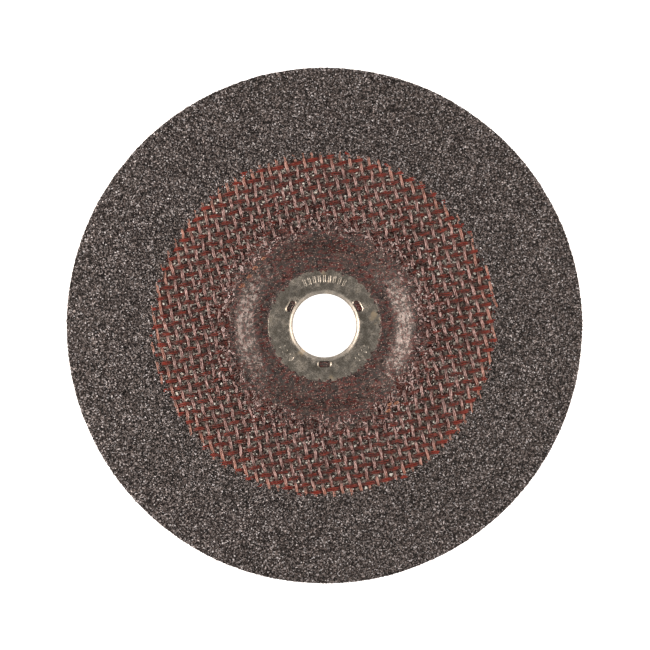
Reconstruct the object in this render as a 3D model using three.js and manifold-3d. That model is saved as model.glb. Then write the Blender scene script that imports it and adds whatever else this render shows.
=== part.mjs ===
// Depressed-centre grinding disc for an angle grinder, 180 x 6 x 22.23 mm.
//
// Millimetres, +Z up. The disc lies on the back of its hub with its recessed working face up.
// The origin is on the axis of the bore, at the back clamping face of the hub.
//
// The real disc is a stack that is hot-pressed in one mould: a paper label, three woven
// glass-fibre meshes, two layers of resin-bonded grit between them, and a stamped steel ring
// that lines the bore. Each of those pieces is one solid here, bonded face to face.

import * as THREE from 'three';
import { mergeVertices } from 'three/addons/utils/BufferGeometryUtils.js';
import Module from 'manifold-3d';

// ---- Driving dimensions ----

const DISC_RADIUS = 90;
const BORE_RADIUS = 11.115;

// The recess in the working face, which the clamping nut sinks into. The hub stands out of the
// back face by the same amount.
const RECESS_DEPTH = 4.6;
const RECESS_FLOOR_RADIUS = 22.6;
const RECESS_RIM_RADIUS = 33.4;
const RECESS_FILLET = 6.5;

// Thickness of each bonded layer, from the back face to the working face: 6 mm in all.
const LABEL_THICKNESS = 0.15;
const BACK_MESH_THICKNESS = 0.5;
const BACK_ABRASIVE_THICKNESS = 1.95;
const MIDDLE_MESH_THICKNESS = 0.4;
const FRONT_ABRASIVE_THICKNESS = 2.4;
const FRONT_MESH_THICKNESS = 0.6;

const LABEL_INNER_RADIUS = 13;
const LABEL_OUTER_RADIUS = 58;
const FRONT_MESH_RADIUS = 60.3;

// The steel ring: a flange pressed flush into the recess floor, and a collar drawn from it
// through the bore.
const SHEET_THICKNESS = 0.7;
const FLANGE_RADIUS = 19.75;
const COLLAR_BEND_RADIUS = 1.3;
const COLLAR_END_HEIGHT = 0.4;

// Three slots in the flange, which the resin keys into.
const SLOT_COUNT = 3;
const SLOT_LENGTH = 4;
const SLOT_WIDTH = 1.8;
const SLOT_CIRCLE_RADIUS = 13.5;
const FIRST_SLOT_ANGLE = Math.PI / 6;

// Where the front mesh climbs from under the flange to the recess floor.
const MESH_STEP_WIDTH = 0.6;

const SEGMENTS_AROUND = 48;
const SLOT_END_SEGMENTS = 5;

// ---- Heights worked out from the thicknesses, at the hub ----

const LABEL_TOP = LABEL_THICKNESS;
const BACK_MESH_TOP = LABEL_TOP + BACK_MESH_THICKNESS;
const BACK_ABRASIVE_TOP = BACK_MESH_TOP + BACK_ABRASIVE_THICKNESS;
const MIDDLE_MESH_TOP = BACK_ABRASIVE_TOP + MIDDLE_MESH_THICKNESS;
const FRONT_ABRASIVE_TOP = MIDDLE_MESH_TOP + FRONT_ABRASIVE_THICKNESS;
const HUB_THICKNESS = FRONT_ABRASIVE_TOP + FRONT_MESH_THICKNESS;

const COLLAR_OUTER_RADIUS = BORE_RADIUS + SHEET_THICKNESS;
const FLANGE_FLAT_RADIUS = BORE_RADIUS + COLLAR_BEND_RADIUS;

// ---- The step between the hub and the rim ----

const FLAT = 0;

/**
 * Points on the S-shaped step from the recess floor up to the working face, as pairs of radius
 * and rise: a fillet, a straight slope and a fillet that turns the other way.
 */
function stepPoints() {
  const run = RECESS_RIM_RADIUS - RECESS_FLOOR_RADIUS;
  const lean = 2 * RECESS_FILLET - RECESS_DEPTH;
  const slope = Math.atan2(run, lean) - Math.acos((2 * RECESS_FILLET) / Math.hypot(run, lean));
  const lower = [];
  const upper = [];
  for (const part of [0, 0.5, 1]) {
    const across = RECESS_FILLET * Math.sin(slope * part);
    const rise = RECESS_FILLET * (1 - Math.cos(slope * part));
    lower.push([RECESS_FLOOR_RADIUS + across, rise]);
    upper.unshift([RECESS_RIM_RADIUS - across, RECESS_DEPTH - rise]);
  }
  return [...lower, ...upper];
}

/** One face of a layer, from its inner radius to its outer one, at a height above the hub's back. */
function face(innerRadius, outerRadius, height) {
  const points = [[innerRadius, FLAT], ...stepPoints(), [outerRadius, RECESS_DEPTH]];
  return points.map(([radius, rise]) => new THREE.Vector2(radius, rise + height));
}

// ---- Solids ----

/** Turns a closed outline, listed anticlockwise with the axis on its left, about +Z. */
function turned(outline) {
  const closed = [...outline, outline[0].clone()];
  const geometry = new THREE.LatheGeometry(closed, SEGMENTS_AROUND);
  geometry.rotateX(Math.PI / 2);
  return geometry;
}

/** A layer between a lower and an upper face, each listed from the bore outwards. */
function layer(lowerFace, upperFace) {
  return turned([...lowerFace, ...upperFace.toReversed()]);
}

function labelGeometry() {
  return layer(
    face(LABEL_INNER_RADIUS, LABEL_OUTER_RADIUS, 0),
    face(LABEL_INNER_RADIUS, LABEL_OUTER_RADIUS, LABEL_TOP),
  );
}

/** A layer that runs the whole way from the collar to the disc's edge. */
function fullLayerGeometry(bottom, top) {
  return layer(
    face(COLLAR_OUTER_RADIUS, DISC_RADIUS, bottom),
    face(COLLAR_OUTER_RADIUS, DISC_RADIUS, top),
  );
}

/** The underside of the front mesh, pressed down under the flange. */
function frontMeshSeat(innerRadius) {
  const [, ...beyondFlange] = face(innerRadius, FRONT_MESH_RADIUS, FRONT_ABRASIVE_TOP);
  return [
    new THREE.Vector2(innerRadius, FRONT_ABRASIVE_TOP - SHEET_THICKNESS),
    new THREE.Vector2(FLANGE_RADIUS, FRONT_ABRASIVE_TOP - SHEET_THICKNESS),
    new THREE.Vector2(FLANGE_RADIUS + MESH_STEP_WIDTH, FRONT_ABRASIVE_TOP),
    ...beyondFlange,
  ];
}

/** The grinding layer, which comes up to the working face outside the front mesh. */
function frontAbrasiveGeometry() {
  const workingFace = HUB_THICKNESS + RECESS_DEPTH;
  return layer(
    face(COLLAR_OUTER_RADIUS, DISC_RADIUS, MIDDLE_MESH_TOP),
    [
      ...frontMeshSeat(COLLAR_OUTER_RADIUS),
      new THREE.Vector2(FRONT_MESH_RADIUS, workingFace),
      new THREE.Vector2(DISC_RADIUS, workingFace),
    ],
  );
}

function frontMeshGeometry() {
  const [, ...beyondFlange] = face(FLANGE_RADIUS, FRONT_MESH_RADIUS, HUB_THICKNESS);
  return layer(
    frontMeshSeat(FLANGE_FLAT_RADIUS),
    [
      new THREE.Vector2(FLANGE_FLAT_RADIUS, HUB_THICKNESS - SHEET_THICKNESS),
      new THREE.Vector2(FLANGE_RADIUS, HUB_THICKNESS - SHEET_THICKNESS),
      new THREE.Vector2(FLANGE_RADIUS, HUB_THICKNESS),
      ...beyondFlange,
    ],
  );
}

/** A quarter bend of the sheet, from the flange (down the bore) as a list of points. */
function bend(radius, segments) {
  const centreRadius = FLANGE_FLAT_RADIUS;
  const centreHeight = HUB_THICKNESS - COLLAR_BEND_RADIUS;
  const points = [];
  for (let i = 0; i <= segments; i += 1) {
    const angle = (Math.PI / 2) * (1 + i / segments);
    const across = radius * Math.cos(angle);
    const up = radius * Math.sin(angle);
    points.push(new THREE.Vector2(centreRadius + across, centreHeight + up));
  }
  return points;
}

function ringBlankGeometry() {
  const visibleBend = bend(COLLAR_BEND_RADIUS, 4);
  const hiddenBend = bend(COLLAR_BEND_RADIUS - SHEET_THICKNESS, 2);
  return turned([
    new THREE.Vector2(FLANGE_RADIUS, HUB_THICKNESS - SHEET_THICKNESS),
    new THREE.Vector2(FLANGE_RADIUS, HUB_THICKNESS),
    ...visibleBend,
    new THREE.Vector2(BORE_RADIUS, COLLAR_END_HEIGHT),
    new THREE.Vector2(COLLAR_OUTER_RADIUS, COLLAR_END_HEIGHT),
    ...hiddenBend.toReversed(),
  ]);
}

/** The cutter for one slot: an obround bar that stands through the flange. */
function slotCutterGeometry(angle) {
  const straight = (SLOT_LENGTH - SLOT_WIDTH) / 2;
  const outline = new THREE.Shape();
  outline.absarc(straight, 0, SLOT_WIDTH / 2, -Math.PI / 2, Math.PI / 2, false);
  outline.absarc(-straight, 0, SLOT_WIDTH / 2, Math.PI / 2, (3 * Math.PI) / 2, false);
  const geometry = new THREE.ExtrudeGeometry(outline, {
    depth: 3 * SHEET_THICKNESS,
    curveSegments: SLOT_END_SEGMENTS,
    bevelEnabled: false,
  });
  geometry.translate(0, -SLOT_CIRCLE_RADIUS, HUB_THICKNESS - 2 * SHEET_THICKNESS);
  geometry.rotateZ(angle + Math.PI / 2);
  return geometry;
}

const wasm = await Module();
wasm.setup();

function toManifold(geometry) {
  const bare = geometry.clone();
  bare.deleteAttribute('normal');
  bare.deleteAttribute('uv');
  const merged = mergeVertices(bare);
  return new wasm.Manifold(new wasm.Mesh({
    numProp: 3,
    vertProperties: merged.getAttribute('position').array,
    triVerts: new Uint32Array(merged.getIndex().array),
  }));
}

function toGeometry(solid) {
  const mesh = solid.getMesh();
  const geometry = new THREE.BufferGeometry();
  geometry.setAttribute('position', new THREE.BufferAttribute(mesh.vertProperties, 3));
  geometry.setIndex(new THREE.BufferAttribute(mesh.triVerts, 1));
  geometry.computeVertexNormals();
  return geometry;
}

function centreRingGeometry() {
  let ring = toManifold(ringBlankGeometry());
  for (let i = 0; i < SLOT_COUNT; i += 1) {
    const angle = FIRST_SLOT_ANGLE + (i * 2 * Math.PI) / SLOT_COUNT;
    ring = ring.subtract(toManifold(slotCutterGeometry(angle)));
  }
  return toGeometry(ring);
}

// ---- Materials ----

const paper = new THREE.MeshStandardMaterial({ color: 0x2f5a58, roughness: 0.75, metalness: 0 });
const glassFibre = new THREE.MeshStandardMaterial({ color: 0x7a4a3c, roughness: 0.55, metalness: 0 });
const grit = new THREE.MeshStandardMaterial({ color: 0x59514d, roughness: 0.85, metalness: 0 });
const steel = new THREE.MeshStandardMaterial({ color: 0x9a9186, roughness: 0.4, metalness: 0.9 });

// ---- Assembly, from the back face to the working face ----

const disc = new THREE.Group();

function addPiece(name, geometry, material) {
  const mesh = new THREE.Mesh(geometry, material);
  mesh.name = name;
  disc.add(mesh);
}

addPiece('label', labelGeometry(), paper);
addPiece('back_mesh', fullLayerGeometry(LABEL_TOP, BACK_MESH_TOP), glassFibre);
addPiece('back_abrasive_layer', fullLayerGeometry(BACK_MESH_TOP, BACK_ABRASIVE_TOP), grit);
addPiece('middle_mesh', fullLayerGeometry(BACK_ABRASIVE_TOP, MIDDLE_MESH_TOP), glassFibre);
addPiece('front_abrasive_layer', frontAbrasiveGeometry(), grit);
addPiece('front_mesh', frontMeshGeometry(), glassFibre);
addPiece('centre_ring', centreRingGeometry(), steel);

export default disc;
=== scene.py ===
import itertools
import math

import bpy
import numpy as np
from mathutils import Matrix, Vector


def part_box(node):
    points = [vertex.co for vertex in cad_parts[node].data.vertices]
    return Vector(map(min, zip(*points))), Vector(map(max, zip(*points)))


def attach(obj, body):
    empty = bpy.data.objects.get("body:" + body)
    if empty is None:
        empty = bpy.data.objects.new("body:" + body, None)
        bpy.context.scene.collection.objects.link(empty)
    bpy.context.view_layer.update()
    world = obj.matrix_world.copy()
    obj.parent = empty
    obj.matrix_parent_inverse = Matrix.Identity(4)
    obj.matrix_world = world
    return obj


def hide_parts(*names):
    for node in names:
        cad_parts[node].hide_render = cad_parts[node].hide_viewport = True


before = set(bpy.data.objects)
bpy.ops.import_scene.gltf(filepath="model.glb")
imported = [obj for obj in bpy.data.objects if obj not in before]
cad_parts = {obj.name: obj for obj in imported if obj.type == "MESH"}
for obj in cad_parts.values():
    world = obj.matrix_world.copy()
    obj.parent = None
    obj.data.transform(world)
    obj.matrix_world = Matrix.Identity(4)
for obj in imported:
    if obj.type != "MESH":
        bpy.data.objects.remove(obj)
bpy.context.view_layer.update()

# Looks of a 180 mm depressed-centre grinding disc, lying with its recessed working face up.
#
# The shapes are worked out in millimetres in the CAD model's frame, and turned into metres where
# a mesh is made. Every visible piece is built here, on sizes read from the frame where it has them.

MM = 0.001
UP = np.array([0.0, 0.0, 1.0])


# ---- Sizes, in millimetres ----

def top_corner(node):
    """The highest corner of a CAD node: its radius twice, and the height of its top."""
    return [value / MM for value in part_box(node)[1]]


def bottom(node):
    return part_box(node)[0][2] / MM


DISC_RADIUS, _, FACE_HEIGHT = top_corner("front_abrasive_layer")
FRONT_MESH_RADIUS, _, _ = top_corner("front_mesh")
FLANGE_RADIUS, _, HUB_HEIGHT = top_corner("centre_ring")
LABEL_RADIUS, _, _ = top_corner("label")
RECESS_DEPTH = FACE_HEIGHT - HUB_HEIGHT

# The step between the recess floor and the working face: two fillets and a straight slope.
RECESS_FLOOR_RADIUS = 22.6
RECESS_RIM_RADIUS = 33.4
RECESS_FILLET = 6.5

BORE_RADIUS = 11.115
SHEET_THICKNESS = 0.7
COLLAR_BEND_RADIUS = 1.7
LIP_RADIUS = 12.8

SLOT_COUNT = 3
SLOT_CIRCLE_RADIUS = 13.5
SLOT_LENGTH = 4.0
SLOT_WIDTH = 1.8
SLOT_RIM = 0.55
FIRST_SLOT_ANGLE = 30.0

# The weave: rows and columns of yarn, each laid as a pair of strands.
ROW_ANGLE = 10.2
COLUMN_ANGLE = 103.0
ROW_PITCH = 3.17
COLUMN_PITCH = 3.15
FRONT_MESH_CENTRE = (-0.3, 0.2)

# Crushed grains: their size, and the groove between two of them as a share of it.
GRAIN_SIZE = 0.64
GROOVE_WIDTH = 0.35

# Tables of random numbers that the noise and the grains are looked up in.
NOISE_TABLE = 256
GRAIN_TABLE = 8192
GRAIN_HASH = (73856093, 19349663, 83492791)


# ---- Small numeric helpers ----

def smooth(value, low, high):
    """0 below low, 1 above high, and a smooth step between them."""
    t = np.clip((value - low) / (high - low), 0, 1)
    return t * t * (3 - 2 * t)


def noise(x, y, size, seed):
    """Smooth random values from -1 to 1, with features of about this size."""
    table = np.random.default_rng(seed).uniform(-1, 1, (NOISE_TABLE, NOISE_TABLE))
    u, v = x / size, y / size
    i, j = np.floor(u).astype(int), np.floor(v).astype(int)
    across, along = smooth(u - i, 0, 1), smooth(v - j, 0, 1)

    def at(a, b):
        return table[(i + a) % NOISE_TABLE, (j + b) % NOISE_TABLE]

    near = at(0, 0) * (1 - across) + at(1, 0) * across
    far = at(0, 1) * (1 - across) + at(1, 1) * across
    return near * (1 - along) + far * along


def grit(points, size, seed, height=0.2, slope=0.9, gap=0.16):
    """How far crushed grains stand out at each point.

    Each point belongs to the nearest grain, which has its own height and a tilted face, with a
    groove between it and the next grain.
    """
    table = np.random.default_rng(seed).random((GRAIN_TABLE, 7))
    cell = np.floor(points / size).astype(np.int64)
    nearest = np.full(len(points), np.inf)
    second = np.full(len(points), np.inf)
    grain = np.zeros(len(points), np.int64)
    away = np.zeros_like(points)
    for step in itertools.product((-1, 0, 1), repeat=3):
        c = cell + step
        key = np.bitwise_xor.reduce(c * GRAIN_HASH, axis=1) % GRAIN_TABLE
        offset = points - (c + table[key, :3]) * size
        distance = np.linalg.norm(offset, axis=1)
        closer = distance < nearest
        second = np.where(closer, nearest, np.minimum(second, distance))
        nearest = np.where(closer, distance, nearest)
        grain = np.where(closer, key, grain)
        away[closer] = offset[closer]
    chosen = table[grain]
    facet = np.sum((chosen[:, 3:6] - 0.5) * away, axis=1)
    groove = 1 - smooth((second - nearest) / size, 0, GROOVE_WIDTH)
    return height * (chosen[:, 6] - 0.5) + slope * facet - gap * groove


def across_disc(points):
    """Distance of each point from the bore's axis."""
    return np.hypot(points[:, 0], points[:, 1])


def rise(radius):
    """Height of the step at a radius: 0 on the recess floor, RECESS_DEPTH at the working face."""
    run = RECESS_RIM_RADIUS - RECESS_FLOOR_RADIUS
    lean = 2 * RECESS_FILLET - RECESS_DEPTH
    angle = math.atan2(run, lean) - math.acos(2 * RECESS_FILLET / math.hypot(run, lean))
    arc = RECESS_FILLET * math.sin(angle)
    arc_rise = RECESS_FILLET * (1 - math.cos(angle))
    past = np.clip(np.asarray(radius, float) - RECESS_FLOOR_RADIUS, 0, run)
    low = RECESS_FILLET - np.sqrt(RECESS_FILLET**2 - np.minimum(past, arc)**2)
    middle = arc_rise + (past - arc) * math.tan(angle)
    left = np.minimum(run - past, arc)
    high = RECESS_DEPTH - RECESS_FILLET + np.sqrt(RECESS_FILLET**2 - left**2)
    return np.where(past < arc, low, np.where(past > run - arc, high, middle))


def front(radius):
    """Height of the working face, down into the recess."""
    return HUB_HEIGHT + rise(radius)


# ---- Meshes ----

def piece(name, vertices, faces, material, replaced, smooth_shading=True, resin=None):
    """A visible piece of the disc from vertices in millimetres, riding on the one rigid body.

    resin gives, for every vertex, how much dark resin and painted shade darken it, from 0 to 1.
    """
    mesh = bpy.data.meshes.new(name)
    mesh.from_pydata((np.asarray(vertices) * MM).tolist(), [], faces)
    mesh.polygons.foreach_set("use_smooth", [smooth_shading] * len(mesh.polygons))
    mesh.materials.append(material)
    if resin is not None:
        mesh.attributes.new("resin", "FLOAT", "POINT").data.foreach_set("value", resin)
    mesh.update()
    obj = bpy.data.objects.new(name, mesh)
    bpy.context.scene.collection.objects.link(obj)
    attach(obj, "root")
    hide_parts(replaced)
    return obj


def grid_faces(rows, columns, first=0, closed_rows=False):
    """Quads of a grid whose columns close on themselves, and whose rows may."""
    i = np.arange(rows if closed_rows else rows - 1)[:, None]
    j = np.arange(columns)[None, :]
    below = (i + 1) % rows
    right = (j + 1) % columns
    corners = [i * columns + j, i * columns + right, below * columns + right, below * columns + j]
    return (first + np.stack(np.broadcast_arrays(*corners), axis=-1)).reshape(-1, 4).tolist()


def stretch(corners, spacing, roughness=0.0):
    """Points spaced along a line of (radius, height) corners, each with how rough it is there."""
    corners = np.asarray(corners, float)
    lengths = np.linalg.norm(np.diff(corners, axis=0), axis=1)
    distance = np.concatenate([[0], np.cumsum(lengths)])
    steps = max(1, round(distance[-1] / spacing))
    at = np.linspace(0, distance[-1], steps + 1)[:-1]
    radius = np.interp(at, distance, corners[:, 0])
    height = np.interp(at, distance, corners[:, 1])
    return np.stack([radius, height, np.full(steps, roughness)], axis=1)


def surface(height_at, start, end, spacing, roughness=0.0):
    """A stretch that follows height_at(radius) from one radius to another."""
    radii = np.linspace(start, end, 200)
    return stretch(np.stack([radii, height_at(radii)], axis=1), spacing, roughness)


def turned(outline, around, relief=None, jitter=0.0, seed=0):
    """Vertices and faces of a closed outline turned about the bore's axis.

    The outline runs anticlockwise with the axis on its left. relief(points) gives how far each
    point moves along the surface's normal, times the outline's roughness there.
    """
    rows = len(outline)
    ahead = np.roll(outline[:, :2], -1, axis=0) - np.roll(outline[:, :2], 1, axis=0)
    ahead /= np.linalg.norm(ahead, axis=1)[:, None]
    random = np.random.default_rng(seed)
    angle = np.linspace(0, 2 * math.pi, around, endpoint=False)[None, :]
    spread = random.uniform(-jitter, jitter, (rows, around)) * 2 * math.pi / around
    angle = angle + spread * (outline[:, 2:3] > 0)
    cosine, sine = np.cos(angle), np.sin(angle)
    radius = np.broadcast_to(outline[:, 0:1], angle.shape)
    height = np.broadcast_to(outline[:, 1:2], angle.shape)
    points = np.stack([radius * cosine, radius * sine, height], axis=-1).reshape(-1, 3)
    if relief is not None:
        out, up = ahead[:, 1:2], -ahead[:, 0:1]
        normal = np.stack([out * cosine, out * sine, up + 0 * cosine], axis=-1).reshape(-1, 3)
        moved = relief(points) * np.repeat(outline[:, 2], around)
        points = points + normal * moved[:, None]
    return points, grid_faces(rows, around, closed_rows=True)


# How wide a strand is at its cut ends, as a share of its width elsewhere.
END_TAPER = 0.55


def strand(path, half_width, half_height, sides, first=0):
    """A closed flat strand along a path, as vertices and faces numbered from first."""
    ahead = np.gradient(path, axis=0)
    ahead /= np.linalg.norm(ahead, axis=1)[:, None]
    side = np.cross(UP, ahead)
    side /= np.linalg.norm(side, axis=1)[:, None]
    up = np.cross(ahead, side)
    taper = np.ones(len(path))
    taper[[0, -1]] = END_TAPER
    turn = (np.arange(sides) + 0.5) * 2 * math.pi / sides
    width = (half_width * taper)[:, None, None] * np.cos(turn)[None, :, None]
    height = (half_height * taper)[:, None, None] * np.sin(turn)[None, :, None]
    vertices = path[:, None, :] + side[:, None, :] * width + up[:, None, :] * height
    faces = grid_faces(len(path), sides, first)
    last = first + (len(path) - 1) * sides
    faces.append([first + sides - 1 - k for k in range(sides)])
    faces.append([last + k for k in range(sides)])
    return vertices.reshape(-1, 3), faces


def joined(parts):
    """The vertices and the faces of several (vertices, faces) pairs as one mesh."""
    vertices, faces, total = [], [], 0
    for points, quads in parts:
        vertices.append(points)
        faces += [[total + k for k in face] for face in quads]
        total += len(points)
    return np.concatenate(vertices), faces


def spun(points, angle):
    """Points turned anticlockwise about the vertical axis, by an angle in radians."""
    cosine, sine = math.cos(angle), math.sin(angle)
    return points @ np.array([[cosine, sine, 0], [-sine, cosine, 0], [0, 0, 1]])


def runs(keep):
    """The stretches of consecutive true values, as slices."""
    edges = np.flatnonzero(np.diff(np.concatenate([[0], keep.astype(int), [0]])))
    return [slice(a, b) for a, b in zip(edges[::2], edges[1::2])]


# How far the cloth is pulled out of square, in millimetres.
DRIFT = 0.55

# How irregular the strands are. Lengths are in millimetres, FULLNESS is a share of the width,
# TWIST_PITCHES counts pitches of the weave, and SHORTEST_RUN counts points.
SHIFT_JITTER = 0.12
FULLNESS = (0.88, 1.1)
LONGEST_OVERRUN = 0.3
WANDER = 0.3
TWIST_HEIGHT = 0.05
TWIST_PITCHES = 2.6
SHORTEST_RUN = 4

# Radii between which the strands come back together, away from where the recess pulled them apart.
PULLED_APART, TOGETHER = 32.0, 44.0

# How far inside the cloth's edge its columns start to come loose, and where they are quite loose.
EDGE_STARTS, EDGE_LOOSE = 3.5, 1.5


def drift(flat):
    """How far the cloth has been pulled out of square at each point."""
    x, y = flat[:, 0], flat[:, 1]
    return np.column_stack([DRIFT * noise(x, y, 19.0, seed=7), DRIFT * noise(x, y, 17.0, seed=8)])


def windows(points, centre):
    """1 in the middle of each window of the cloth, down to 0 along its yarns."""
    square = points[:, :2] - drift(points[:, :2]) - np.array(centre)
    value = np.ones(len(points))
    for angle, pitch in ((ROW_ANGLE, ROW_PITCH), (COLUMN_ANGLE, COLUMN_PITCH)):
        across = np.array([-math.sin(math.radians(angle)), math.cos(math.radians(angle))])
        value = value * np.abs(np.sin(math.pi * (square @ across) / pitch))
    return value


def weave(rows, height_at, outer, inner, step, sides, seed, centre=(0, 0), width=0.62, lift=0.15,
          fray=0.7):
    """Every row strand of a plain weave, or every column strand.

    height_at(points) is the mesh's middle height, and the yarns run between the two radii.
    Returns vertices, faces, and how much each vertex is darkened, from 0 to 1: painted shade where the
    strand dips under the crossing yarns, and patches of resin.
    """
    random = np.random.default_rng(seed)
    angle = math.radians(ROW_ANGLE if rows else COLUMN_ANGLE)
    other = math.radians(COLUMN_ANGLE if rows else ROW_ANGLE)
    pitch, other_pitch = (ROW_PITCH, COLUMN_PITCH) if rows else (COLUMN_PITCH, ROW_PITCH)
    along = np.array([math.cos(angle), math.sin(angle)])
    across = np.array([-along[1], along[0]])
    other_across = np.array([-math.sin(other), math.cos(other)])
    count = int(outer / pitch)
    vertices, faces, resin, total = [], [], [], 0
    for index in range(-count, count + 1):
        shift = index * pitch + random.uniform(-SHIFT_JITTER, SHIFT_JITTER)
        reach = math.sqrt(max(outer**2 - shift**2, 0))
        if reach < 2 * pitch:
            continue
        fullness = random.uniform(*FULLNESS)
        phase = random.uniform(0, 2 * math.pi)
        for hand in (-1, 1):
            start = -reach + random.uniform(-LONGEST_OVERRUN, fray)
            end = reach - random.uniform(-LONGEST_OVERRUN, fray)
            t = np.linspace(start, end, max(4, round((end - start) / step)))
            flat = np.array(centre) + across * shift + along * t[:, None]
            crossing = flat @ other_across / other_pitch
            wave = np.cos(math.pi * (crossing + index)) * (-1 if rows else 1)
            radius = across_disc(flat)
            if not rows:
                loose = smooth(radius, outer - EDGE_STARTS, outer - EDGE_LOOSE)
                wave = wave * (1 - 0.8 * loose) + 0.35 * loose
            twist = phase + t * math.pi / (TWIST_PITCHES * pitch)
            apart = 1 - smooth(radius, PULLED_APART, TOGETHER)
            wander = WANDER * noise(t, np.full_like(t, 37.0 * index), 2.5, seed + 1)
            straying = noise(t, np.full_like(t, index), 1.2, seed + 4)
            spread = 0.5 + 0.06 * np.cos(twist) + 0.4 * apart * straying
            sideways = wander * (1 + apart) + hand * width * spread
            flat = flat + across * sideways[:, None] + drift(flat)
            height = height_at(flat) + lift * wave + hand * TWIST_HEIGHT * np.sin(twist)
            path = np.column_stack([flat, height])
            swelling = noise(t, np.full_like(t, index + hand), 1.5, seed + 2)
            body = width * fullness * (0.5 + 0.12 * swelling)
            # Painted shade: each strand is darkened where it dips under the crossing yarns, and also
            # in random patches of resin.
            patchy = wave + 0.9 * noise(flat[:, 0], flat[:, 1], 1.3, seed + 3)
            resin_and_dip_shade = 1 - smooth(patchy, -0.7, 0.7)
            for run in runs(across_disc(flat) > inner):
                if run.stop - run.start < SHORTEST_RUN:
                    continue
                points, quads = strand(path[run], body[run], 0.3 * width, sides, total)
                vertices.append(points)
                faces += quads
                resin.append(np.repeat(resin_and_dip_shade[run], sides))
                total += len(points)
    return np.concatenate(vertices), faces, np.concatenate(resin)


# ---- Materials ----

def srgb(red, green, blue):
    """A colour given as 0 to 255 screen values, in the linear values that nodes use."""
    def linear(value):
        value /= 255
        return value / 12.92 if value <= 0.04045 else ((value + 0.055) / 1.055) ** 2.4
    return (linear(red), linear(green), linear(blue), 1.0)


class Material:
    """A node material with one Principled shader, built up by short calls."""

    def __init__(self, name, roughness, metallic=0.0):
        self.material = bpy.data.materials.new(name)
        self.material.use_nodes = True
        self.tree = self.material.node_tree
        self.shader = self.tree.nodes["Principled BSDF"]
        self.shader.inputs["Metallic"].default_value = metallic
        self.shader.inputs["Roughness"].default_value = roughness
        self.place = self.add("TexCoord").outputs["Object"]

    def add(self, kind, inputs=None, **settings):
        """A node with its settings, its inputs set to values or linked from sockets."""
        node = self.tree.nodes.new("ShaderNode" + kind)
        for key, value in settings.items():
            setattr(node, key, value)
        for key, value in (inputs or {}).items():
            self.feed(node.inputs[key], value)
        return node

    def feed(self, socket, value):
        if isinstance(value, bpy.types.NodeSocket):
            self.tree.links.new(value, socket)
        else:
            socket.default_value = value

    def math(self, operation, first, second=0.0):
        return self.add("Math", {0: first, 1: second}, operation=operation).outputs[0]

    def mix(self, factor, first, second, blend="MIX"):
        node = self.add("Mix", {0: factor, 6: first, 7: second}, data_type="RGBA", blend_type=blend)
        return node.outputs[2]

    def ramp(self, factor, stops, constant=False):
        node = self.add("ValToRGB", {"Fac": factor})
        node.color_ramp.interpolation = "CONSTANT" if constant else "LINEAR"
        elements = node.color_ramp.elements
        while len(elements) < len(stops):
            elements.new(1.0)
        for element, (position, colour) in zip(elements, stops):
            element.position = position
            element.color = colour
        return node.outputs["Color"]

    def step(self, value, low, high):
        """0 below low and 1 above high, with a smooth step between them."""
        node = self.add("MapRange", {"Value": value, "From Min": low, "From Max": high},
                        interpolation_type="SMOOTHSTEP")
        return node.outputs["Result"]

    def clouds(self, size, detail=3.0, place=None):
        """Smooth noise from 0 to 1 with features of this size in millimetres."""
        inputs = {"Vector": place or self.place, "Scale": 1 / (size * MM), "Detail": detail}
        return self.add("TexNoise", inputs).outputs["Fac"]

    def cells(self, size):
        """Random cells of about this size in millimetres."""
        return self.add("TexVoronoi", {"Vector": self.place, "Scale": 1 / (size * MM)})

    def facets(self, grains):
        """Height in millimetres of a randomly tilted face on every cell."""
        away = self.add("VectorMath", {0: self.place, 1: grains.outputs["Position"]},
                        operation="SUBTRACT")
        lean = self.add("VectorMath", {0: grains.outputs["Color"], 1: (0.5, 0.5, 0.5)},
                        operation="SUBTRACT")
        face = self.add("VectorMath", {0: away.outputs[0], 1: lean.outputs[0]},
                        operation="DOT_PRODUCT")
        return self.math("MULTIPLY", face.outputs["Value"], 1 / MM)

    def channel(self, colour, index=0):
        return self.add("SeparateColor", {"Color": colour}).outputs[index]

    def along(self, angle, stretch_by):
        """Coordinates turned to a yarn's direction and drawn out along it."""
        turn = self.add("Mapping", {"Vector": self.place, "Rotation": (0, 0, -math.radians(angle))},
                        vector_type="POINT")
        squeeze = self.add("Mapping", {"Vector": turn.outputs[0], "Scale": (1 / stretch_by, 1, 1)})
        return squeeze.outputs[0]

    def round_bore(self, stretch_by):
        """Coordinates that are drawn out along circles round the bore."""
        split = self.add("SeparateXYZ", {0: self.place})
        angle = self.math("ARCTAN2", split.outputs["Y"], split.outputs["X"])
        around = self.math("MULTIPLY", angle, RECESS_FLOOR_RADIUS * MM / stretch_by)
        outwards = self.math("MULTIPLY", self.radius(), MM)
        return self.add("CombineXYZ", {0: around, 1: outwards}).outputs[0]

    def radius(self):
        """Distance from the bore's axis, in millimetres."""
        flat = self.add("VectorMath", {0: self.place, 1: (1, 1, 0)}, operation="MULTIPLY")
        length = self.add("VectorMath", {0: flat.outputs[0]}, operation="LENGTH")
        return self.math("MULTIPLY", length.outputs["Value"], 1 / MM)

    def bump(self, *layers):
        """Stacks (height, depth in millimetres) layers of bump onto the shader."""
        normal = None
        for height, depth in layers:
            inputs = {"Height": height, "Distance": depth * MM, "Strength": 1.0}
            if normal is not None:
                inputs["Normal"] = normal
            normal = self.add("Bump", inputs).outputs["Normal"]
        self.feed(self.shader.inputs["Normal"], normal)

    def colour(self, value):
        self.feed(self.shader.inputs["Base Color"], value)


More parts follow.
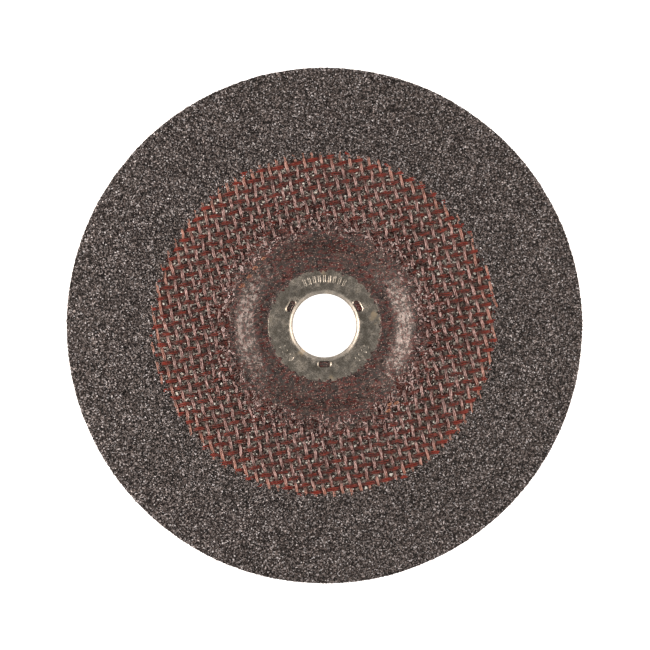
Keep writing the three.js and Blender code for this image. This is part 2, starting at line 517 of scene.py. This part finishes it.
# The materials' colours. Each list is a ramp, of positions and the colours there.
GRAIN_TONES = [(0.0, srgb(12, 9, 8)), (0.35, srgb(50, 44, 41)), (0.7, srgb(91, 84, 80)),
               (0.92, srgb(134, 129, 126)), (1.0, srgb(190, 187, 185))]
RUST_TINT = (1.0, 0.92, 0.87, 1)
WEAR_TINT = (0.88, 0.88, 0.88, 1)
RED_RESIN_AND_YARN_SHADE = srgb(94, 35, 27)
BROWN_RESIN_AND_DIP_SHADE = srgb(40, 20, 15)
DARK_PATCH = srgb(30, 12, 8)
DUST_GREY = srgb(80, 68, 64)
SKIN_TONES = [(0.38, srgb(9, 2, 1)), (0.5, srgb(26, 10, 7)), (0.62, srgb(52, 36, 30))]
SMEAR = srgb(26, 5, 3)
YARN_UNDER_SKIN = srgb(66, 14, 8)
PAINTED_GLINT = srgb(176, 154, 144)
PAINTED_PIT_SHADE = srgb(8, 4, 3)
BEAD_TONES_WITH_PAINTED_GLINT = [(0.0, srgb(20, 5, 3)), (0.3, srgb(40, 10, 6)), (0.55, srgb(104, 74, 69)),
              (1.0, srgb(194, 176, 175))]
DARK_AMBER, AMBER = srgb(84, 48, 35), srgb(142, 98, 74)
STEEL_TONES = [(0.32, srgb(128, 123, 114)), (0.5, srgb(153, 148, 140)), (0.68, srgb(198, 189, 176))]
STEEL_SPECK = srgb(92, 86, 76)
STEEL_BLOOM = srgb(184, 167, 142)
PAINTED_LIP_HIGHLIGHT = srgb(214, 208, 198)
TEAL, ORANGE, SCUFF = srgb(38, 74, 84), srgb(206, 120, 48), srgb(120, 112, 104)


def grit_material(name, tint, hollow_shade_colour, grain_size):
    """Crushed grains in dark resin, each with its own tone and its own tilted face."""
    m = Material(name, 0.6)
    m.shader.inputs["Specular IOR Level"].default_value = 0.22
    grains = m.cells(grain_size)
    tone = m.channel(grains.outputs["Color"], 0)
    body = m.ramp(tone, GRAIN_TONES)
    # Painted shade: random dark spots stand in for the shade in the hollows between grains; in the
    # window grit their red-brown colour is also that of the resin there.
    hollow_shade = m.step(m.clouds(1.4 * grain_size, 2.0), 0.49, 0.42)
    rusty = m.step(m.channel(grains.outputs["Color"], 1), 0.5, 0.9)
    tinted = m.mix(1.0, body, tint, "MULTIPLY")
    base = m.mix(rusty, tinted, m.mix(1.0, tinted, RUST_TINT, "MULTIPLY"))
    base = m.mix(hollow_shade, base, hollow_shade_colour)
    # Where the resin attribute is high the grit turns dark red-brown: resin towards the hub, and along
    # the yarns resin together with painted shade from the yarns.
    resin = m.add("Attribute", attribute_name="resin").outputs["Fac"]
    base = m.mix(resin, base, m.mix(0.7, base, RED_RESIN_AND_YARN_SHADE))
    worn = m.step(m.clouds(11.0, 4.0), 0.35, 0.65)
    m.colour(m.mix(worn, m.mix(1.0, base, WEAR_TINT, "MULTIPLY"), base))
    m.feed(m.shader.inputs["Roughness"], m.math("SUBTRACT", 0.75, m.math("MULTIPLY", tone, 0.4)))
    m.bump((m.facets(grains), 0.8), (m.clouds(0.2), 0.05))
    return m.material


def yarn_material(name, angle, dull, bright, end_colour, roughness):
    """Glass strands in resin, with streaks along the yarn, greyer towards the hub."""
    m = Material(name, roughness)
    streaks = m.clouds(0.28, 4.0, m.along(angle, 6.0))
    patches = m.clouds(0.9, 4.0)
    base = m.mix(m.step(streaks, 0.42, 0.57), dull, bright)
    base = m.mix(m.step(patches, 0.5, 0.64), base, m.mix(0.5, base, DARK_PATCH))
    radius = m.radius()
    base = m.mix(m.step(radius, 53.0, 60.0), base, m.mix(0.6, base, end_colour))
    greyed = m.mix(0.35, base, DUST_GREY)
    base = m.mix(m.step(radius, 32.0, 40.0), greyed, base)
    # Painted shade: the resin attribute darkens the strands where they dip under crossing yarns, as
    # well as in patches of resin.
    resin = m.add("Attribute", attribute_name="resin").outputs["Fac"]
    m.colour(m.mix(resin, base, m.mix(0.72, base, BROWN_RESIN_AND_DIP_SHADE)))
    m.bump((streaks, 0.09), (m.clouds(0.3), 0.08))
    return m.material


def skin_material():
    """Resin squeezed over the recess: grey-brown, with red streaks where yarns lie just under it."""
    m = Material("resin_skin", 0.45)
    m.shader.inputs["Specular IOR Level"].default_value = 0.72
    m.shader.inputs["Specular Tint"].default_value = (1.0, 0.94, 0.91, 1)
    blotches = m.clouds(2.4, 2.5)
    streaks = m.clouds(0.7, 2.5, m.along(ROW_ANGLE, 3.0))
    smears = m.clouds(1.0, 4.0, m.round_bore(7.0))
    grain = m.clouds(0.42, 4.0)
    pits = m.cells(0.6)
    base = m.ramp(blotches, SKIN_TONES)
    base = m.mix(m.step(smears, 0.5, 0.6), base, m.mix(0.7, base, SMEAR))
    base = m.mix(m.step(streaks, 0.5, 0.58), base, YARN_UNDER_SKIN)
    # Painted highlight: rare pale flecks stand in for glints on the glossy resin.
    base = m.mix(m.step(grain, 0.6, 0.66), base, m.mix(0.8, base, PAINTED_GLINT))
    # Painted shade: small dark spots stand in for the shade inside pits in the resin; the surface has
    # no pits there, only rougher spots.
    pit_shade = m.step(m.channel(pits.outputs["Color"], 0), 0.2, 0.12)
    m.colour(m.mix(pit_shade, base, PAINTED_PIT_SHADE))
    dull = m.math("MAXIMUM", pit_shade, m.step(m.clouds(1.5, 3.0), 0.44, 0.58))
    m.feed(m.shader.inputs["Roughness"], m.math("ADD", 0.25, m.math("MULTIPLY", dull, 0.38)))
    m.bump((blotches, 0.2), (smears, 0.08), (streaks, 0.07), (grain, 0.04))
    return m.material


def bead_material():
    m = Material("resin_bead", 0.22)
    # The pale end of these tones is partly painted highlight, standing in for the glints on the small
    # beads.
    tone = m.channel(m.cells(1.1).outputs["Color"], 0)
    m.colour(m.ramp(tone, BEAD_TONES_WITH_PAINTED_GLINT))
    m.bump((m.clouds(0.3), 0.03))
    return m.material


def amber_material():
    m = Material("amber_resin", 0.25)
    m.colour(m.mix(m.step(m.clouds(0.5), 0.42, 0.58), DARK_AMBER, AMBER))
    m.bump((m.clouds(0.5), 0.05))
    return m.material


def steel_material():
    """Zinc-plated sheet, dull and faintly mottled, with a tan bloom in places."""
    m = Material("plated_steel", 0.3, 1.0)
    mottle = m.clouds(2.6, 5.0)
    fine = m.clouds(0.35, 4.0)
    base = m.ramp(mottle, STEEL_TONES)
    base = m.mix(m.step(fine, 0.44, 0.56), base, m.mix(0.75, base, STEEL_SPECK))
    bloom = m.step(m.clouds(5.0), 0.6, 0.72)
    base = m.mix(bloom, base, STEEL_BLOOM)
    radius = m.radius()
    lip = m.step(radius, LIP_RADIUS, BORE_RADIUS)
    # Painted highlight: the crest of the rolled lip is painted brighter than the rest, standing in for
    # the glint along it.
    lip_highlight = m.math("MULTIPLY", m.step(radius, 12.4, 12.0), m.step(radius, 11.3, 11.6))
    m.colour(m.mix(m.math("MULTIPLY", lip_highlight, 0.36), base, PAINTED_LIP_HIGHLIGHT))
    worn = m.math("MULTIPLY", m.clouds(1.3, 4.0), 0.2)
    m.feed(m.shader.inputs["Roughness"],
           m.math("ADD", m.math("ADD", 0.24, worn), m.math("MULTIPLY", lip, 0.25)))
    m.bump((mottle, 0.05), (fine, 0.03))
    return m.material


TICK_COUNT = 72


def label_material():
    """A plain printed paper label: bands of colour and a ring of ticks, with no lettering."""
    m = Material("label_paper", 0.5)
    radius = m.radius()
    bands = [(0.0, srgb(198, 196, 188)), (24.5, TEAL), (33.0, srgb(202, 200, 192)), (34.0, TEAL),
             (50.5, ORANGE), (51.5, srgb(204, 202, 194)), (56.8, TEAL)]
    stops = [(position / LABEL_RADIUS, colour) for position, colour in bands]
    base = m.ramp(m.math("DIVIDE", radius, LABEL_RADIUS), stops, constant=True)
    separate = m.add("SeparateXYZ", {0: m.place})
    angle = m.math("ARCTAN2", separate.outputs["Y"], separate.outputs["X"])
    turns = m.math("FRACT", m.math("MULTIPLY", angle, TICK_COUNT / (2 * math.pi)))
    tick = m.math("LESS_THAN", turns, 0.12)
    inside = m.math("MULTIPLY", m.math("GREATER_THAN", radius, 53.0),
                    m.math("LESS_THAN", radius, 55.6))
    base = m.mix(m.math("MULTIPLY", tick, inside), base, TEAL)
    scuff = m.step(m.clouds(1.2, 5.0), 0.55, 0.75)
    m.colour(m.mix(m.math("MULTIPLY", scuff, 0.25), base, SCUFF))
    m.bump((m.clouds(0.3), 0.02))
    return m.material


# ---- The pieces ----

def front_grit_ring(material):
    """The grinding layer outside the front mesh: the working face and the disc's edge."""
    edge = 0.35
    wall = DISC_RADIUS - 0.12
    top = FACE_HEIGHT - 0.1
    floor = bottom("front_abrasive_layer") + RECESS_DEPTH
    inner = FRONT_MESH_RADIUS - 1.5
    quarter = np.linspace(0, math.pi / 2, 5)
    corner = np.column_stack([wall - edge * (1 - np.cos(quarter)), top - edge * (1 - np.sin(quarter))])
    outline = np.vstack([
        stretch([(inner, floor), (wall, floor)], 5.0),
        stretch([(wall, floor), (wall, top - edge)], 0.36, 1.0),
        stretch(corner, 0.25, 1.0),
        stretch([(wall - edge, top), (inner, top)], 0.38, 1.0),
        stretch([(inner, top), (inner, floor)], 3.0),
    ])

    def relief(points):
        angle = np.arctan2(points[:, 1], points[:, 0])
        swell = noise(angle * DISC_RADIUS, points[:, 2] * 0.3, 9.0, 5)
        return grit(points, GRAIN_SIZE, seed=11) + 0.06 * swell

    vertices, faces = turned(outline, 1480, relief, jitter=0.3, seed=21)
    return piece("front_grit_ring", vertices, faces, material,
                 "front_abrasive_layer", smooth_shading=False)


def front_grit_centre(material):
    """The same layer under the front mesh, swelling up in the weave's windows."""
    outer = FRONT_MESH_RADIUS + 0.6
    inner = FLANGE_RADIUS + 0.6
    lower = bottom("front_abrasive_layer")

    def top(radius):
        return front(radius) - 0.62

    def underside(radius):
        return lower + rise(radius)

    outline = np.vstack([
        surface(underside, inner, outer, 2.5),
        stretch([(outer, underside(outer)), (outer, top(outer))], 2.0),
        surface(top, outer, inner, 0.36, 1.0),
        stretch([(inner, top(inner)), (inner, underside(inner))], 2.0),
    ])

    def cover(points):
        """How far the grit swells up through the cloth."""
        beyond = smooth(across_disc(points), FRONT_MESH_RADIUS - 1.5, FRONT_MESH_RADIUS)
        return np.maximum(windows(points, FRONT_MESH_CENTRE), beyond)

    def relief(points):
        grains = grit(points, GRAIN_SIZE, seed=12, height=0.16, slope=0.7, gap=0.14)
        return grains + 0.34 * np.sqrt(cover(points))

    vertices, faces = turned(outline, 1060, relief, jitter=0.3, seed=22)
    uneven = across_disc(vertices) + 4.0 * noise(vertices[:, 0], vertices[:, 1], 2.4, 16)
    # High along the yarns, as resin together with painted shade cast by the yarns, and towards the
    # hub, as resin.
    resin = np.maximum(1 - smooth(cover(vertices), 0.15, 0.6), 1 - smooth(uneven, 31.0, 37.0))
    return piece("front_grit_centre", vertices, faces, material,
                 "front_abrasive_layer", smooth_shading=False, resin=resin)


# Radii between which the front mesh comes up out of the resin, and how deep it lies before that.
MESH_SUNK, MESH_RISEN = 31.8, 35.8
MESH_DEPTH = 0.45


def front_weave(rows, material):
    """The rows or the columns of the front mesh, which sink under the resin in the recess."""
    depth = 0.42 if rows else 0.36
    width = 0.6 if rows else 0.47
    seed = 31 if rows else 41

    def middle(flat):
        radius = across_disc(flat)
        uneven = radius + 2.5 * noise(flat[:, 0], flat[:, 1], 3.1, 33)
        pressed = 0.1 * noise(flat[:, 0], flat[:, 1], 1.9, 34)
        sunk = MESH_DEPTH * (1 - smooth(uneven, MESH_SUNK, MESH_RISEN))
        return front(radius) - depth + pressed - sunk

    vertices, faces, resin_and_dip_shade = weave(rows, middle, FRONT_MESH_RADIUS, FLANGE_RADIUS + 2, 0.42, 8,
                                     seed, FRONT_MESH_CENTRE, width, lift=0.26)
    name = "front_mesh_rows" if rows else "front_mesh_columns"
    return piece(name, vertices, faces, material, "front_mesh",
                 resin=resin_and_dip_shade)


# The resin skin's lumps: their height, their size and the seed of each layer of them.
SKIN_LUMPS = ((0.1, 2.1, 51), (0.035, 0.8, 52), (0.018, 0.45, 53))
SKIN_RADIUS = 43.0

# Radii between which the skin sinks under the weave, and how far.
SKIN_DIVES, SKIN_UNDER = 33.0, 36.6
SKIN_DIVE = 0.6

# The stretch of the flange's edge that no resin laps over, in degrees.
BARE_MIDDLE = 182
BARE_REACH, BARE_END = 8, 11


def recess_skin(material):
    """Resin over the recess, from under the flange out to where the weave comes through it."""
    outer, inner = SKIN_RADIUS, BORE_RADIUS + 1.5

    def top(radius):
        return front(radius) - 0.05

    def underside(radius):
        return front(radius) - 1.0

    outline = np.vstack([
        surface(underside, inner, outer, 2.5),
        stretch([(outer, underside(outer)), (outer, top(outer))], 1.0),
        surface(top, outer, FLANGE_RADIUS + 0.6, 0.25, 1.0),
        surface(top, FLANGE_RADIUS + 0.6, FLANGE_RADIUS - 1.2, 0.09, 1.0),
        surface(top, FLANGE_RADIUS - 1.2, inner, 0.3, 1.0),
        stretch([(inner, top(inner)), (inner, underside(inner))], 1.0),
    ])

    def relief(points):
        x, y = points[:, 0], points[:, 1]
        radius = across_disc(points)
        angle = np.arctan2(y, x)
        lumps = sum(height * noise(x, y, size, seed) for height, size, seed in SKIN_LUMPS)
        lumps = lumps - 0.08 * windows(points, FRONT_MESH_CENTRE)
        ragged = radius + 3.0 * noise(x, y, 3.1, 54) + 1.8 * noise(x, y, 1.1, 55)
        dive = SKIN_DIVE * smooth(ragged, SKIN_DIVES, SKIN_UNDER)
        around = FLANGE_RADIUS * angle
        jag = 0.5 * noise(around, angle * 0, 1.6, 56) + 0.7 * noise(around, angle * 0, 0.7, 57)
        bare = smooth(np.cos(angle - math.radians(BARE_MIDDLE)),
                      math.cos(math.radians(BARE_END)), math.cos(math.radians(BARE_REACH)))
        jag = np.clip(jag + 0.1, 0, 1) * (1 - bare)
        reach = FLANGE_RADIUS + 0.1 - 0.25 * (1 - bare) - 1.3 * jag
        over = smooth(radius, reach - 0.06, reach + 0.06)
        flash = 0.2 * over * (1 - smooth(radius, FLANGE_RADIUS - 0.2, FLANGE_RADIUS + 0.5))
        return lumps * over - dive + flash - 0.55 * (1 - over)

    vertices, faces = turned(outline, 1080, relief)
    return piece("recess_skin", vertices, faces, material, "front_mesh")


def obround(length, width, grow, height, segments=8):
    """A closed loop of points round an obround slot that lies along X."""
    straight = (length - width) / 2
    radius = width / 2 + grow
    loop = []
    for side in (1, -1):
        for k in range(segments + 1):
            turn = -math.pi / 2 + math.pi * k / segments
            loop.append([side * (straight + radius * math.cos(turn)), side * radius * math.sin(turn),
                         height])
    return np.array(loop)


def lofted(loops):
    """Vertices and faces of a closed solid through a stack of loops, listed upwards."""
    size = len(loops[0])
    faces = grid_faces(len(loops), size)
    faces = [face[::-1] for face in faces]
    top = (len(loops) - 1) * size
    faces.append(list(range(size))[::-1])
    faces.append([top + k for k in range(size)])
    return np.concatenate(loops), faces


def turned_to(points, radius, angle):
    """Points drawn about the origin, moved out to a radius and round to an angle in degrees."""
    a = math.radians(angle)
    out = np.array([math.cos(a), math.sin(a), 0])
    sideways = np.array([math.sin(a), -math.cos(a), 0])
    return points[:, 0:1] * sideways + (points[:, 1:2] + radius) * out + points[:, 2:3] * UP


def slot_cutter(angle):
    """A slot with a dished rim where the punch drew the sheet's upper edge down."""
    depth = 2 * SHEET_THICKNESS
    loops = [obround(SLOT_LENGTH, SLOT_WIDTH, grow, HUB_HEIGHT + height)
             for grow, height in ((0, -depth), (0, -0.45), (0.08, -0.24), (0.2, -0.14),
                                  (SLOT_RIM, 0), (SLOT_RIM, 1))]
    vertices, faces = lofted(loops)
    return turned_to(vertices, SLOT_CIRCLE_RADIUS, angle), faces


MARK_RADIUS = 16.4
MARK_WIDTH = 0.6
MARK_SPACING = 6.2


def stamp_cutter(length, angle):
    """One stamped mark: a short shallow bar that points at the bore, with sloping sides."""
    loops = [obround(length, MARK_WIDTH, grow, HUB_HEIGHT + height)
             for grow, height in ((-0.2, -0.13), (-0.1, -0.12), (0.12, 0.0), (0.15, 0.2))]
    vertices, faces = lofted(loops)
    return turned_to(spun(vertices, math.pi / 2), MARK_RADIUS, angle), faces


def stamped_marks():
    """Plain marks in place of lettering: a row of equal bars, and two groups of shorter ones."""
    marks = []
    for count, length, middle in ((9, 2.6, 90), (4, 1.8, 216), (4, 1.8, 324)):
        for k in range(count):
            marks.append(stamp_cutter(length, middle + MARK_SPACING * (k - (count - 1) / 2)))
    return marks


def steel_ring(material):
    """The stamped ring: flange, rolled lip, collar, slots and marks."""
    bend_centre = (BORE_RADIUS + COLLAR_BEND_RADIUS, HUB_HEIGHT - COLLAR_BEND_RADIUS)
    quarter = np.linspace(math.pi / 2, math.pi, 13)

    def bend(radius):
        return np.column_stack([bend_centre[0] + radius * np.cos(quarter),
                                bend_centre[1] + radius * np.sin(quarter)])

    edge = 0.28
    rim_turn = np.linspace(0, math.pi / 2, 5)
    rim = np.column_stack([FLANGE_RADIUS - edge + edge * np.cos(rim_turn),
                           HUB_HEIGHT - edge + edge * np.sin(rim_turn)])
    under = HUB_HEIGHT - SHEET_THICKNESS
    end = bottom("centre_ring")
    corners = np.vstack([
        [(FLANGE_RADIUS, under)], rim, bend(COLLAR_BEND_RADIUS), [(BORE_RADIUS, end + 0.1)],
        [(BORE_RADIUS + 0.1, end), (BORE_RADIUS + SHEET_THICKNESS, end)],
        bend(COLLAR_BEND_RADIUS - SHEET_THICKNESS)[::-1],
    ])
    vertices, faces = turned(np.column_stack([corners, np.zeros(len(corners))]), 192)
    ring = piece("stamped_ring", vertices, faces, material, "centre_ring")
    cutters = [slot_cutter(FIRST_SLOT_ANGLE + 360 / SLOT_COUNT * k) for k in range(SLOT_COUNT)]
    cut_away(ring, cutters + stamped_marks())
    return ring


def cut_away(obj, cutters):
    """Cuts closed solids out of a piece, and leaves the result as its mesh."""
    vertices, faces = joined(cutters)
    mesh = bpy.data.meshes.new("cutter")
    mesh.from_pydata((vertices * MM).tolist(), [], faces)
    tool = bpy.data.objects.new("cutter", mesh)
    bpy.context.scene.collection.objects.link(tool)
    modifier = obj.modifiers.new("cut", "BOOLEAN")
    modifier.object = tool
    modifier.operation = "DIFFERENCE"
    modifier.solver = "EXACT"
    evaluated = obj.evaluated_get(bpy.context.evaluated_depsgraph_get())
    result = bpy.data.meshes.new_from_object(evaluated)
    obj.modifiers.clear()
    obj.data = result
    bpy.data.objects.remove(tool)
    result.set_sharp_from_angle(angle=math.radians(35))


BEAD_COUNT = 2100
FILAMENT_COUNT = 700


def bead(length, width, height, around, rings, wobble=None):
    """A closed rounded bead, of rings with points at the angles around.

    wobble(ring) gives how far the points of a ring are swollen, as a factor.
    """
    loops = []
    for ring in range(rings):
        turn = math.pi * (ring + 0.5) / rings - math.pi / 2
        swell = 1 if wobble is None else wobble(ring)
        loops.append(np.column_stack([length * math.cos(turn) * np.cos(around) * swell,
                                      width * math.cos(turn) * np.sin(around) * swell,
                                      np.full(len(around), height * math.sin(turn))]))
    return lofted(loops)


def resin_beads(material):
    """Small glossy beads of resin that stand up among the yarns, most of them near the hub."""
    random = np.random.default_rng(65)
    beads = []
    for _ in range(BEAD_COUNT):
        radius = 31.0 + min(random.gamma(2.0, 4.0), 28)
        angle = random.uniform(0, 2 * math.pi)
        size = random.uniform(0.16, 0.36)
        lean = random.uniform(0, math.pi)
        stretched = random.uniform(1.0, 1.8)
        around = np.linspace(0, 2 * math.pi, 8, endpoint=False) + lean
        points, quads = bead(size * stretched, size, size, around, rings=5)
        middle = [radius * math.cos(angle), radius * math.sin(angle),
                  float(front(radius)) - random.uniform(0.05, 0.3)]
        beads.append((spun(points, lean) + middle, quads))
    vertices, faces = joined(beads)
    return piece("resin_beads", vertices, faces, material, "front_mesh")


def loose_filaments(material):
    """Short curled filaments that stand out of the resin where the weave comes through it."""
    random = np.random.default_rng(67)
    filaments = []
    for _ in range(FILAMENT_COUNT):
        radius = 32.0 + min(random.gamma(2.0, 2.4), 13)
        angle = random.uniform(0, 2 * math.pi)
        curl = random.uniform(0.35, 0.8)
        turn = random.uniform(0, 2 * math.pi) + np.linspace(0, random.uniform(1.2, 3.2), 8)
        middle = radius * np.array([math.cos(angle), math.sin(angle)])
        flat = middle + curl * np.column_stack([np.cos(turn), np.sin(turn)])
        height = front(across_disc(flat)) - random.uniform(0.0, 0.15) + 0.08 * np.cos(2 * turn)
        path = np.column_stack([flat, height])
        filaments.append(strand(path, np.full(len(path), 0.12), 0.09, sides=5))
    vertices, faces = joined(filaments)
    return piece("loose_filaments", vertices, faces, material,
                 "front_mesh")


# Where amber resin bridged the gaps between yarns: angle in degrees and radius of each bead.
AMBER_PLACES = [(132.3, 31.6), (140.3, 31.4), (146.8, 31.3), (154.2, 31.8), (-50.5, 35.6),
                (-47.2, 36.8), (-53.0, 37.1)]
AMBER_LEAN = math.radians(28)
AMBER_HEIGHT = 0.28


def resin_spots(material):
    """Amber beads of resin on the recess rim."""
    random = np.random.default_rng(61)
    beads = []
    for angle, radius in AMBER_PLACES:
        length, width = random.uniform(0.9, 1.2), random.uniform(0.45, 0.6)
        around = np.linspace(0, 2 * math.pi, 16, endpoint=False)

        def wobble(ring):
            return 1 + 0.12 * np.sin(3 * around + ring * 0.4 + angle)

        points, quads = bead(length, width, AMBER_HEIGHT, around, 9, wobble)
        middle = [radius * math.cos(math.radians(angle)), radius * math.sin(math.radians(angle)),
                  float(front(radius)) + 0.12]
        beads.append((spun(points, AMBER_LEAN) + middle, quads))
    vertices, faces = joined(beads)
    return piece("resin_spots", vertices, faces, material, "front_mesh")


# Inner radius of the label and of the yarns behind the ring's flange.
HIDDEN_HOLE_RADIUS = 13.0


def middle_mesh(material):
    """The full-diameter mesh inside the disc, whose yarns end just short of the edge."""
    def middle(flat):
        return bottom("middle_mesh") + 0.2 + rise(across_disc(flat))

    parts = [weave(rows, middle, DISC_RADIUS - 1.0, HIDDEN_HOLE_RADIUS, 1.05, 6, seed, lift=0.1,
                   fray=0.15)[:2]
             for rows, seed in ((True, 71), (False, 72))]
    vertices, faces = joined(parts)
    return piece("middle_mesh_yarns", vertices, faces, material,
                 "middle_mesh")


def back_grit(material):
    """The grit layer behind the middle mesh, seen in the windows of the back mesh."""
    lower, upper = bottom("back_abrasive_layer"), bottom("middle_mesh")
    inner, wall = BORE_RADIUS + SHEET_THICKNESS, DISC_RADIUS - 0.15

    def underside(radius):
        return lower - 0.15 + rise(radius)

    def top(radius):
        return upper + 0.2 + rise(radius)

    outline = np.vstack([
        surface(underside, inner, wall, 0.55, 1.0),
        stretch([(wall, underside(wall)), (wall, top(wall))], 0.36, 1.0),
        surface(top, wall, inner, 4.0),
        stretch([(inner, top(inner)), (inner, underside(inner))], 3.0),
    ])

    def relief(points):
        return grit(points, GRAIN_SIZE, seed=13)

    vertices, faces = turned(outline, 1100, relief, jitter=0.3, seed=23)
    return piece("back_grit", vertices, faces, material, "back_abrasive_layer",
                 smooth_shading=False)


def back_weave(rows, material):
    """The rows or the columns of the full-diameter mesh on the back."""
    def middle(flat):
        return bottom("back_mesh") + 0.3 + rise(across_disc(flat))

    seed = 81 if rows else 82
    vertices, faces, resin_and_dip_shade = weave(rows, middle, DISC_RADIUS - 1.0, HIDDEN_HOLE_RADIUS, 0.79, 6,
                                     seed, lift=0.13, fray=0.2)
    name = "back_mesh_rows" if rows else "back_mesh_columns"
    # Seen from below, the strands dip the other way, so the painted shade is turned round.
    return piece(name, vertices, faces, material, "back_mesh",
                 resin=1 - resin_and_dip_shade)


def back_label(material):
    """The paper label, which takes up the weave that it is pressed onto."""
    inner = HIDDEN_HOLE_RADIUS
    clearance = 0.04
    thickness = 0.12

    def underside(radius):
        return clearance + rise(radius)

    def top(radius):
        return underside(radius) + thickness

    outline = np.vstack([
        surface(underside, inner, LABEL_RADIUS, 0.45, 1.0),
        surface(top, LABEL_RADIUS, inner, 0.45, -1.0),
    ])

    def relief(points):
        rows, columns = (
            points[:, 0] * -math.sin(math.radians(a)) + points[:, 1] * math.cos(math.radians(a))
            for a in (ROW_ANGLE, COLUMN_ANGLE))
        dents = np.cos(2 * math.pi * rows / ROW_PITCH) * np.cos(2 * math.pi * columns / COLUMN_PITCH)
        edge = smooth(across_disc(points), LABEL_RADIUS - 1, LABEL_RADIUS)
        return 0.02 * dents + 0.012 * noise(points[:, 0], points[:, 1], 1.1, 91) - 0.02 * edge

    vertices, faces = turned(outline, 560, relief)
    return piece("back_label", vertices, faces, material, "label")


# ---- Build ----

WINDOW_TINT = (1.3, 1.37, 1.33, 1)
FACE_TINT = (1.1, 1.13, 1.22, 1)
BRICK = srgb(106, 37, 23)
DARK_BRICK = srgb(48, 14, 9)
# The columns' pale salmon is partly their own colour and partly painted highlight, standing in for the
# glint the side lights put on them.
SALMON_WITH_PAINTED_SHEEN = srgb(170, 141, 137)
DARK_SALMON = srgb(84, 42, 36)
ROW_END = srgb(120, 28, 4)
COLUMN_END = srgb(160, 104, 82)

# The third colour given to each grit is the painted shade in its hollows.
face_grit = grit_material("face_grit", FACE_TINT, srgb(4, 2, 2), 0.4)
window_grit = grit_material("window_grit", WINDOW_TINT, srgb(26, 5, 3), 0.56)
row_yarn = yarn_material("row_yarn", ROW_ANGLE, DARK_BRICK, BRICK, ROW_END, 0.36)
column_yarn = yarn_material("column_yarn", COLUMN_ANGLE, DARK_SALMON, SALMON_WITH_PAINTED_SHEEN, COLUMN_END, 0.28)

front_grit_ring(face_grit)
front_grit_centre(window_grit)
front_weave(True, row_yarn)
front_weave(False, column_yarn)
recess_skin(skin_material())
glossy_resin = bead_material()
resin_beads(glossy_resin)
loose_filaments(glossy_resin)
resin_spots(amber_material())
steel_ring(steel_material())
middle_mesh(row_yarn)
back_grit(face_grit)
back_weave(True, row_yarn)
back_weave(False, column_yarn)
back_label(label_material())


# ---- Stage, light and camera ----

WARM = (1.0, 0.87, 0.78)
SOFTBOX_DISTANCE = 0.45
SOFTBOX_SIZE = (0.45, 0.275)

# How bright the tent is at angles off the zenith, in degrees.
TENT = [(90, 0.7), (77, 0.6), (69, 0.07), (62, 0.07), (50, 0.85), (18, 0.85), (9, 0.1)]


def make_floor():
    """A pale floor under the disc, reaching 3 metres each way."""
    size = 3.0
    mesh = bpy.data.meshes.new("floor")
    corners = [(-size, -size, 0), (size, -size, 0), (size, size, 0), (-size, size, 0)]
    mesh.from_pydata(corners, [], [(0, 1, 2, 3)])
    floor = bpy.data.objects.new("floor", mesh)
    bpy.context.scene.collection.objects.link(floor)
    m = Material("floor", 0.9)
    m.shader.inputs["Base Color"].default_value = (0.93, 0.93, 0.93, 1)
    m.shader.inputs["Emission Color"].default_value = (1, 1, 1, 1)
    m.shader.inputs["Emission Strength"].default_value = 0.8
    mesh.materials.append(m.material)


def softbox(name, direction, power):
    """A warm rectangular light that faces the disc from a direction."""
    light = bpy.data.lights.new(name, "AREA")
    light.shape = "RECTANGLE"
    light.size, light.size_y = SOFTBOX_SIZE
    light.energy = power
    light.color = WARM
    obj = bpy.data.objects.new(name, light)
    aim = np.array(direction) / np.linalg.norm(direction)
    obj.location = (aim * SOFTBOX_DISTANCE).tolist()
    obj.rotation_mode = "QUATERNION"
    obj.rotation_quaternion = Vector(aim.tolist()).to_track_quat("Z", "Y")
    bpy.context.scene.collection.objects.link(obj)


def make_world():
    """A tent round the disc, with a dark opening at the top and a dark band low down.

    The camera itself sees plain white.
    """
    world = bpy.data.worlds.new("studio")
    bpy.context.scene.world = world
    world.use_nodes = True
    tree = world.node_tree
    direction = tree.nodes.new("ShaderNodeTexCoord")
    split = tree.nodes.new("ShaderNodeSeparateXYZ")
    tent = tree.nodes.new("ShaderNodeValToRGB")
    seen = tree.nodes.new("ShaderNodeLightPath")
    colour = tree.nodes.new("ShaderNodeMix")
    colour.data_type = "RGBA"
    elements = tent.color_ramp.elements
    while len(elements) < len(TENT):
        elements.new(1.0)
    for element, (off_zenith, level) in zip(elements, TENT):
        element.position = math.cos(math.radians(off_zenith))
        element.color = (level, level * 0.96, level * 0.92, 1)
    colour.inputs[7].default_value = (1, 1, 1, 1)
    tree.links.new(direction.outputs["Generated"], split.inputs[0])
    tree.links.new(split.outputs["Z"], tent.inputs["Fac"])
    tree.links.new(tent.outputs["Color"], colour.inputs[6])
    tree.links.new(seen.outputs["Is Camera Ray"], colour.inputs[0])
    tree.links.new(colour.outputs[2], tree.nodes["Background"].inputs["Color"])


def make_camera():
    """Straight above the disc, far enough off that it hardly shows any perspective."""
    distance = 1.5
    frame_width = 0.2264
    off_centre = 0.0002
    camera = bpy.data.cameras.new("camera")
    camera.sensor_width = 36
    camera.lens = camera.sensor_width * distance / frame_width
    obj = bpy.data.objects.new("camera", camera)
    obj.location = (off_centre, off_centre, FACE_HEIGHT * MM + distance)
    bpy.context.scene.collection.objects.link(obj)
    bpy.context.scene.camera = obj


make_floor()
make_world()
softbox("left_softbox", (-1, 0, 0.45), 3.65)
softbox("right_softbox", (1, 0, 0.45), 2.8)
make_camera()
bpy.context.scene.view_settings.view_transform = "Standard"
